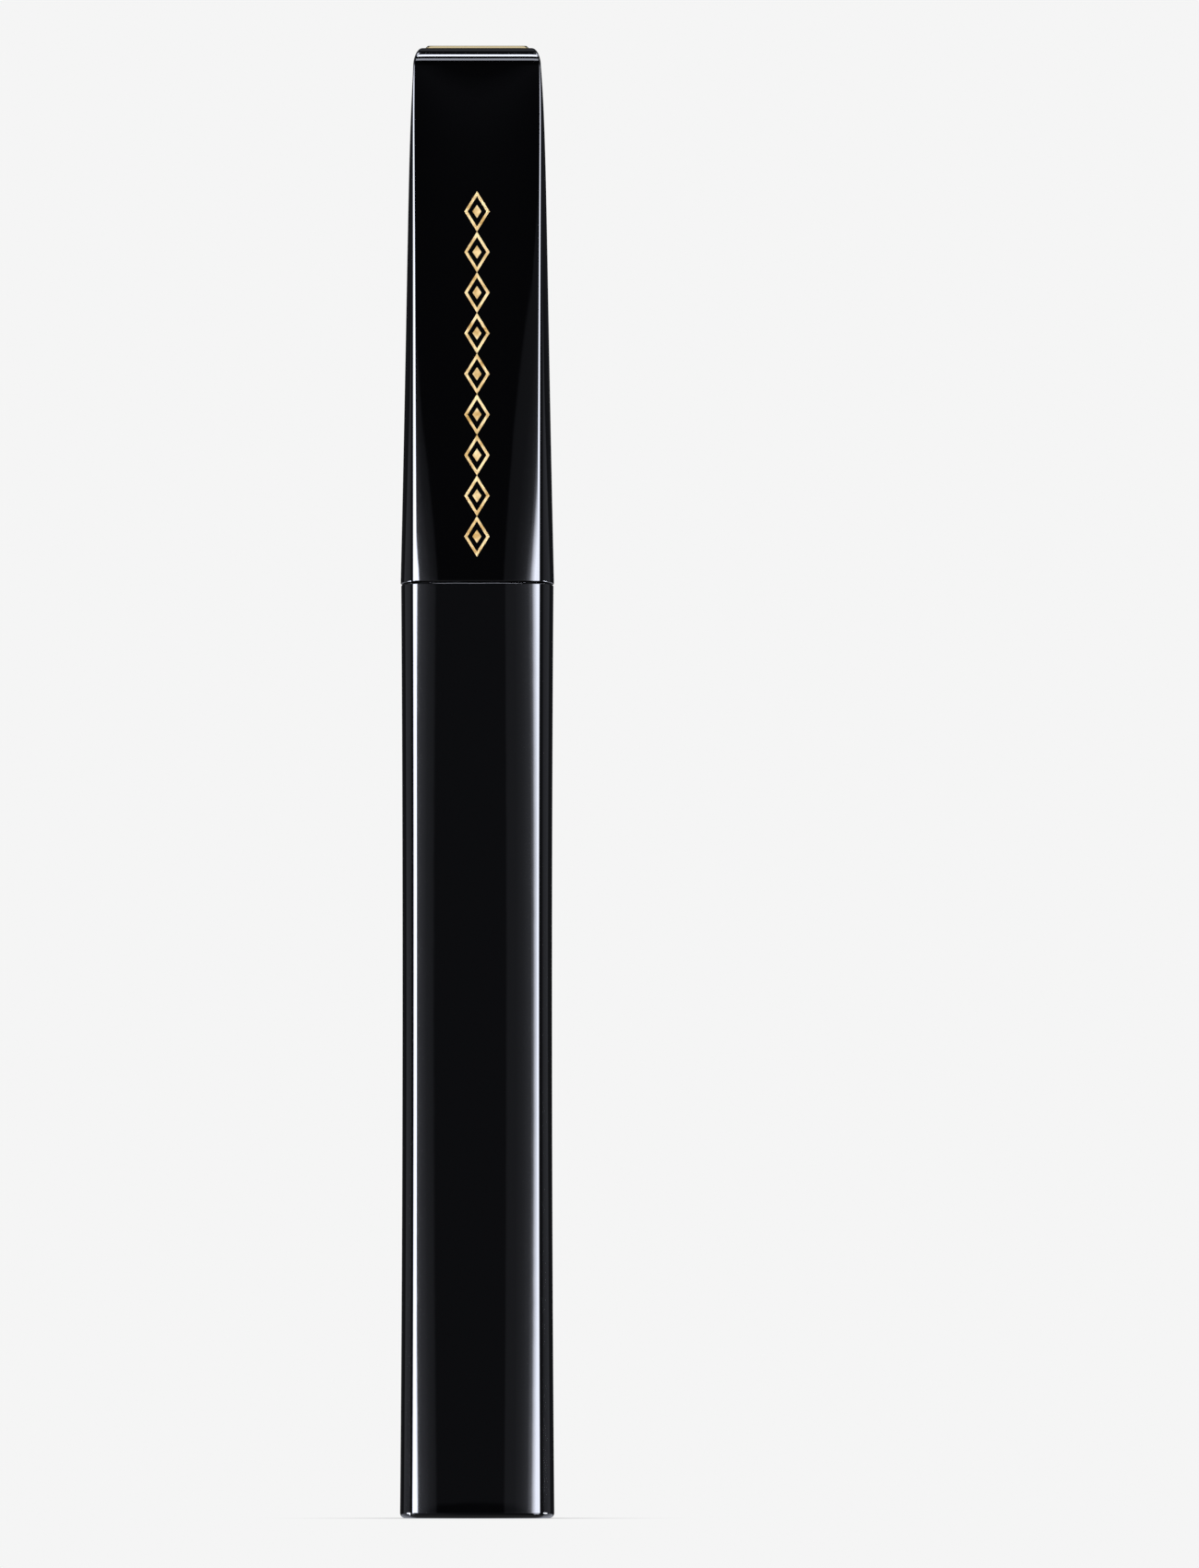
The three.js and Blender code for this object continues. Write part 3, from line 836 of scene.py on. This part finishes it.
def fibres_skin():
    """Fibres in one long spiral of clumped tufts round the wire, over a denser short core."""
    random.seed(7)
    low, high = BRUSH_TIP + 0.7, STEM_END - 0.25
    points = []
    faces = []
    glint_ends = []

    # A fibre marked pale gets a wider end face, painted pale grey as a glint (a painted highlight).
    def add(root, tip, radius, pale):
        start = len(points)
        points.extend(fibre_points(root, tip, radius, radius * (1.5 if pale else 0.8)))
        made = ring_faces(FIBRE_SIDES, 3, False, start)
        faces.extend(made)
        glint_ends.extend([0] * (len(made) - 1) + [pale])

    def around(radius, angle, z):
        return Vector((radius * math.cos(angle), radius * math.sin(angle), z))

    tufts = round((high - low) / FIBRE_PITCH * TUFTS_PER_TURN)
    for t in range(tufts):
        z = mix(low, high, (t + 0.5) / tufts)
        turn = TURN * z / FIBRE_PITCH
        reach = brush_radius(z) * random.uniform(0.94, 1.0)
        lean = random.uniform(-0.1, 0.1)
        for clump in range(CLUMPS_PER_TUFT):
            middle = (CLUMPS_PER_TUFT - 1) / 2
            spread = (clump - middle) / middle + random.uniform(-0.15, 0.15)
            angle = turn + random.gauss(0, 0.15)
            tip_z = z + spread * 0.27 + lean + random.uniform(-0.05, 0.05)
            shorter = random.uniform(0.6, 0.92) if random.random() < 0.3 else random.uniform(0.93, 1.0)
            if abs(spread) > 0.8:
                shorter *= random.uniform(0.72, 1.0)
            for _ in range(FIBRES_PER_CLUMP):
                length = reach * shorter * random.uniform(0.95, 1.0)
                root = around(0.45, angle + random.uniform(-0.4, 0.4), z + spread * 0.6)
                tip = around(length, angle + random.uniform(-0.03, 0.03), tip_z + random.uniform(-0.05, 0.05))
                add(root, tip, FIBRE_RADIUS, random.random() < 0.05)
    for _ in range(CORE_FIBRES):
        z = random.uniform(low, high)
        angle = random.uniform(0, TURN)
        longest = 2.0 if random.random() < 0.12 else 1.5
        length = random.uniform(1.1, longest) * min(1, brush_radius(z) / BRUSH_TIP_RADIUS)
        bent = angle + random.uniform(-0.3, 0.3)
        tip = around(length, bent, z + random.uniform(-0.35, 0.35))
        add(around(0.5, angle, z), tip, CORE_FIBRE_RADIUS, random.random() < 0.06)
    fibres = mesh_piece("spiral_fibres", points, faces, NYLON, sharp=40)
    # One value per face: 1 on the end faces painted pale as glints.
    fibres.data.attributes.new("painted_glint", "FLOAT", "FACE").data.foreach_set("value", glint_ends)
    return fibres


# Foil ornaments


def cap_face(across, z, back, lift):
    """A point on the cap's front or back face, a little proud of it."""
    width, corner = cap_width(z), cap_corner(z)
    out = width - (width - corner) * (across / corner) ** 2 + lift
    return (-across, out, z) if back else (across, -out, z)


def foil_band(points, faces, outer, inner, back):
    """A band of foil between two closed outlines of (across, height) corners."""
    steps = 6
    top_lift, sunk_lift = 0.02, -0.01
    count = len(outer)
    rows = []
    for outline in (outer, inner):
        row = []
        for i, (x, z) in enumerate(outline):
            next_x, next_z = outline[(i + 1) % count]
            row += [(mix(x, next_x, k / steps), mix(z, next_z, k / steps)) for k in range(steps)]
        rows.append(row)
    start = len(points)
    for lift in (top_lift, sunk_lift):
        for row in rows:
            points.extend(cap_face(x, z, back, lift) for x, z in row)
    n = len(rows[0])
    outside, inside, outside_low, inside_low = (start + n * k for k in range(4))
    for i in range(n):
        j = (i + 1) % n
        band = [
            (outside + i, outside + j, inside + j, inside + i),
            (outside_low + j, outside_low + i, inside_low + i, inside_low + j),
            (outside + j, outside + i, outside_low + i, outside_low + j),
            (inside + i, inside + j, inside_low + j, inside_low + i),
        ]
        faces.extend(band)


def lozenge(half_width, half_height, z):
    """The (across, height) corners of a lozenge."""
    return [(half_width, z), (0, z + half_height), (-half_width, z), (0, z - half_height)]


def foil_piece(name, lozenges, back):
    """Foil lozenges, each given by its centre height, its half sizes and its stroke."""
    points = []
    faces = []
    for z, half_width, half_height, stroke in lozenges:
        inner_scale = max(0.02, 1 - stroke / half_width)
        outer = lozenge(half_width, half_height, z)
        inner = lozenge(half_width * inner_scale, half_height * inner_scale, z)
        foil_band(points, faces, outer, inner, back)
    if signed_volume(points, faces) < 0:
        faces = [face[::-1] for face in faces]
    return mesh_piece(name, points, faces, FOIL)


def front_chain():
    """A slim chain of open lozenges with solid beads in them, up the cap's front."""
    low, high = RIM + 2.2, RIM + 37
    links = 9
    pitch = (high - low) / links
    shapes = []
    for k in range(links):
        z = low + pitch * (k + 0.5)
        shapes.append((z, 1.2, pitch * 0.5, 0.3))
        shapes.append((z, 0.42, 0.62, 0.42))
    return foil_piece("front_foil_chain", shapes, back=False)


def back_emblem():
    """Three nested lozenges near the rim on the cap's back."""
    z = RIM + 6
    shapes = [(z, 3.0, 3.15, 0.45), (z, 2.1, 2.2, 0.4), (z, 1.15, 1.2, 1.15)]
    return foil_piece("back_foil_emblem", shapes, back=True)


# Studio

PALE = 0.913  # the backdrop's and the floor's brightness
MIDDLE = 0.07  # metres: about half the tube's height, which the lights surround


def emission_material(name, wire_glow):
    """A plain glowing material; wire_glow sets the emission's colour and strength."""
    material = bpy.data.materials.new(name)
    material.use_nodes = True
    tree = material.node_tree
    tree.nodes.clear()
    output = tree.nodes.new("ShaderNodeOutputMaterial")
    glow = tree.nodes.new("ShaderNodeEmission")
    tree.links.new(glow.outputs["Emission"], output.inputs["Surface"])
    wire_glow(tree, glow)
    return material


def floor_stage():
    """A wide pale floor that glows evenly, with a painted contact shadow: darker only where the tube stands on
    it.
    """

    def painted_contact_shadow(tree, glow):
        glow.inputs["Strength"].default_value = PALE
        # Ambient occlusion darkens the floor's glow round the tube's foot: a painted contact shadow.
        occlusion = tree.nodes.new("ShaderNodeAmbientOcclusion")
        occlusion.samples = 16
        occlusion.inputs["Distance"].default_value = 0.014
        ramp = tree.nodes.new("ShaderNodeValToRGB")
        ramp.color_ramp.elements[0].position = 0.3
        ramp.color_ramp.elements[0].color = (0.45, 0.45, 0.46, 1)
        ramp.color_ramp.elements[1].position = 0.98
        ramp.color_ramp.elements[1].color = (1, 1, 1, 1)
        tree.links.new(occlusion.outputs["AO"], ramp.inputs["Fac"])
        tree.links.new(ramp.outputs["Color"], glow.inputs["Color"])

    mesh = bpy.data.meshes.new("studio_floor")
    side = 40.0
    below_foot = 0.00002
    corners = [(-side, -side, 0), (side, -side, 0), (side, side, 0), (-side, side, 0)]
    mesh.from_pydata(corners, [], [(0, 1, 2, 3)])
    mesh.materials.append(emission_material("pale_floor", painted_contact_shadow))
    floor = bpy.data.objects.new("studio_floor", mesh)
    floor.location.z = -below_foot
    floor.visible_glossy = False
    bpy.context.scene.collection.objects.link(floor)


def stepped(value, stops):
    """The value of a run of (place, level) stops, straight from one to the next."""
    if value <= stops[0][0]:
        return stops[0][1]
    for (a, low), (b, high) in zip(stops, stops[1:]):
        if value <= b:
            return mix(low, high, (value - a) / (b - a))
    return stops[-1][1]


# The studio's brightness as runs of (degrees, level) stops. These go round the tube from the front,
# with the left negative. First come the tall soft boxes, one on each side.
BOXES = [
    (-80, 0), (-77, 28), (-37, 27), (-36, 0),
    (31.6, 0), (33.2, 10), (36, 22), (55, 25), (60, 12), (65, 2), (67, 0),
]
# The haze beside the boxes
HAZE = [
    (-37, 1.2), (-36, 1.1), (-33, 0.6), (-30.4, 0.42), (-28.4, 0.24), (-24.6, 0.13), (-24.4, 0),
    (16.2, 0), (16.6, 0.14), (22, 0.16), (25, 0.25), (27, 0.36), (29.6, 0.6), (31.2, 2.2), (33, 1),
]
# The walls behind, which the sides mirror at a flat angle
WALLS = [
    (-180, 0.015), (-158, 0.015), (-156, 0.085), (-78, 0.085), (-77, 0),
    (77, 0), (78, 0.085), (156, 0.085), (158, 0.015), (180, 0.015),
]
# The soft sweep of the low studio
SWEEP = [
    (-180, 0.5), (-165, 0.3), (-140, 0.06), (-100, 0.08), (-80, 2.4), (-60, 0.8), (-35, 0.2), (-10, 0.06),
    (30, 0.06), (60, 0.06), (100, 0.06), (140, 0.18), (165, 0.45), (180, 0.5),
]
# These two are the same on the left and the right: two rear boxes, and the dim upper studio.
REAR_BOXES = [(117, 0), (120, 22), (140, 22), (147, 16), (150, 0)]
UPPER = [
    (0, 0.01), (36, 0.01), (38, 0.35), (76, 0.8), (78, 0.05),
    (112, 0.05), (116, 0.35), (146, 0.8), (150, 0.05),
]
# These three go by degrees above the horizon: how the soft boxes fade, what is straight ahead, and
# the overhead strips in front and on the right.
FADE = [(6.5, 1), (8.2, 0.5), (10.5, 0.17), (12, 0.08), (12.6, 0)]
AHEAD = [(-30, 0.088), (2.2, 0.088), (3, 0.024), (5.5, 0.024), (8, 0.05), (10, 0.065), (12, 0.02)]
OVERHEAD = [(14, 0), (23.7, 0), (24.5, 7), (30.5, 7), (31.3, 0), (39.7, 0), (40.5, 28), (48.4, 28), (49.2, 0)]
# Elevations at which one part of the studio gives way to the next
ZENITH = 82
CEILING = 62
BOX_TOP = 13.5
BOX_BOTTOM = -5


def upper_glow(azimuth, elevation):
    """The dim upper studio, its overhead strips, and a strip that lights the seam's edge."""
    strip_half = 6
    seam_half = 34
    in_strip = min(abs(azimuth), abs(azimuth - 90)) < strip_half
    in_seam_strip = 49 < elevation < 60 and strip_half < abs(azimuth) < seam_half
    return stepped(elevation, OVERHEAD) * in_strip + 24 * in_seam_strip + stepped(abs(azimuth), UPPER)


def level_glow(azimuth, elevation):
    """The studio near the horizon: boxes, the haze beside them, the front and the walls."""
    ahead = stepped(elevation, AHEAD) * (abs(azimuth) < 77)
    haze = stepped(azimuth, HAZE) * (abs(azimuth) < 37)
    if elevation > 3.2:
        haze *= 0.75
    boxes = stepped(azimuth, BOXES) * stepped(elevation, FADE)
    if elevation < -1.3 and -57 < azimuth < 0:  # the left box is cut away here, below the horizon
        boxes = 0
    rear = stepped(abs(azimuth), REAR_BOXES) * (elevation < -1.2)
    return ahead + haze + boxes + rear + stepped(azimuth, WALLS)


def low_glow(azimuth, elevation):
    """The low studio: a soft sweep, and a strip that one edge of the tube mirrors to a raised camera."""
    strip_centre = 45 if elevation < -20 else -135
    strip_half = 9
    strip_bottom = -28.5
    in_strip = abs(azimuth - strip_centre) < strip_half and elevation > strip_bottom
    return stepped(azimuth, SWEEP) + 20 * in_strip


def studio_glow(azimuth, elevation):
    """Brightness of the studio seen from the tube."""
    if elevation > ZENITH:
        return 0.8
    if elevation > CEILING:
        return 0.2
    if elevation > BOX_TOP:
        return upper_glow(azimuth, elevation)
    if elevation > BOX_BOTTOM:
        return level_glow(azimuth, elevation)
    return low_glow(azimuth, elevation)


def light_tent():
    """A shell of soft light round the tube, seen only in reflections."""

    def glowing(tree, glow):
        attribute = tree.nodes.new("ShaderNodeAttribute")
        attribute.attribute_name = "glow"
        glow.inputs["Color"].default_value = (0.92, 0.96, 1.1, 1)
        tree.links.new(attribute.outputs["Fac"], glow.inputs["Strength"])

    radius = 12  # metres: far enough that what a face mirrors hardly depends on its height
    azimuths = [k * 0.5 for k in range(-360, 361)]
    # The rows stand close together where the brightness changes.
    elevations = [-40, -29, -28, -21, -19, -12, -9, -6, -5.2, -4.6, -3, -1.6, -1, 0, 1, 2.2, 3, 3.3, 4.5]
    elevations += [6.5, 8.2, 9.5, 11, 12, 13.4, 13.6, 18, 23.7, 24.5, 27, 30.5, 31.3, 39.7, 40.5, 44, 48.4]
    elevations += [49.2, 54, 59.5, 60.5, 61.9, 62.1, 75, 80, 82.5, 89.9]
    points = []
    levels = []
    for elevation in elevations:
        for azimuth in azimuths:
            up, round_angle = math.radians(elevation), math.radians(azimuth)
            flat = radius * math.cos(up)
            height = radius * math.sin(up)
            points.append((flat * math.sin(round_angle), -flat * math.cos(round_angle), height))
            levels.append(studio_glow(azimuth, elevation))
    width = len(azimuths)
    faces = []
    for r in range(len(elevations) - 1):
        for i in range(width - 1):
            a = r * width + i
            faces.append((a, a + 1, a + 1 + width, a + width))
    mesh = bpy.data.meshes.new("light_tent")
    mesh.from_pydata(points, [], faces)
    mesh.attributes.new("glow", "FLOAT", "POINT").data.foreach_set("value", levels)
    mesh.materials.append(emission_material("tent_glow", glowing))
    tent = bpy.data.objects.new("light_tent", mesh)
    tent.location.z = MIDDLE
    for kind in ("camera", "diffuse", "transmission", "volume_scatter", "shadow"):
        setattr(tent, "visible_" + kind, False)
    bpy.context.scene.collection.objects.link(tent)


def fill_light(name, azimuth, elevation, power):
    """A soft lamp for the matt pieces, which the gloss doesn't mirror."""
    size = 0.5
    distance = 1.0
    lamp = bpy.data.lights.new(name, "AREA")
    lamp.shape = "DISK"
    lamp.size = size
    lamp.energy = power
    obj = bpy.data.objects.new(name, lamp)
    up, turn = math.radians(elevation), math.radians(azimuth)
    towards = Vector((math.sin(turn) * math.cos(up), -math.cos(turn) * math.cos(up), math.sin(up)))
    obj.location = towards * distance + Vector((0, 0, MIDDLE))
    obj.rotation_euler = towards.to_track_quat("Z", "Y").to_euler()
    obj.visible_camera = False
    obj.visible_glossy = False
    bpy.context.scene.collection.objects.link(obj)


def pale_world():
    """A plain pale background, dim to everything but the camera."""
    world = bpy.data.worlds.new("studio_world")
    world.use_nodes = True
    tree = world.node_tree
    tree.nodes.clear()
    output = tree.nodes.new("ShaderNodeOutputWorld")
    blend = tree.nodes.new("ShaderNodeMixShader")
    path = tree.nodes.new("ShaderNodeLightPath")
    dim = tree.nodes.new("ShaderNodeBackground")
    dim.inputs["Color"].default_value = (0.25, 0.25, 0.26, 1)
    pale = tree.nodes.new("ShaderNodeBackground")
    pale.inputs["Color"].default_value = (PALE, PALE, PALE, 1)
    tree.links.new(path.outputs["Is Camera Ray"], blend.inputs["Fac"])
    tree.links.new(dim.outputs["Background"], blend.inputs[1])
    tree.links.new(pale.outputs["Background"], blend.inputs[2])
    tree.links.new(blend.outputs["Shader"], output.inputs["Surface"])
    bpy.context.scene.world = world


def main_camera():
    """A long lens from low in front, with the tube to the left of the middle."""
    distance = 2.0
    height = 0.010
    aim = 0.06988
    sideways = 0.01164
    frame_height = 0.1493
    camera = bpy.data.objects.new("camera", bpy.data.cameras.new("camera"))
    camera.data.lens = camera.data.sensor_width * distance / frame_height
    camera.data.clip_end = 200
    camera.location = (sideways, -distance, height)
    tilt = math.atan((aim - height) / distance)
    camera.rotation_euler = (math.pi / 2 + tilt, 0, 0)
    bpy.context.scene.collection.objects.link(camera)
    bpy.context.scene.camera = camera


# Every piece with its CAD node, its body and the record's slot
PIECES = [
    (tube_skin, "tube_shell", "tube", "gloss_black"),
    (base_skin, "base_plug", "tube", "satin_black"),
    (bottle_skin, "inner_bottle", "tube", "satin_black"),
    (collar_skin, "neck_collar", "tube", "gloss_black"),
    (wiper_skin, "wiper", "tube", "soft_grey"),
    (washer_skin, "seal_washer", "washer", "rubber"),
    (weight_skin, "cap_weight", "weight", "steel"),
    (cap_skin, "cap_shell", "cap_and_brush", "gloss_black"),
    (plate_skin, "cap_top_plate", "cap_and_brush", "pale_gold"),
    (inner_cap_skin, "inner_cap", "cap_and_brush", "satin_black"),
    (stem_skin, "stem", "cap_and_brush", "satin_black"),
    (wire_skin, "brush_wire", "cap_and_brush", "steel"),
    (fibres_skin, "brush_fibres", "cap_and_brush", "fibre"),
    (front_chain, None, "cap_and_brush", "pale_gold"),
    (back_emblem, None, "cap_and_brush", "pale_gold"),
]

main_camera()
pale_world()
floor_stage()
light_tent()
fill_light("fill_left", azimuth=-50, elevation=25, power=9)
fill_light("fill_right", azimuth=55, elevation=20, power=11)
fill_light("fill_back", azimuth=190, elevation=40, power=7)
for make, node_name, body, slot_name in PIECES:
    piece = make()
    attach(piece, body)
    if node_name:
        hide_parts(node_name)
bpy.context.scene.view_settings.view_transform = "Standard"
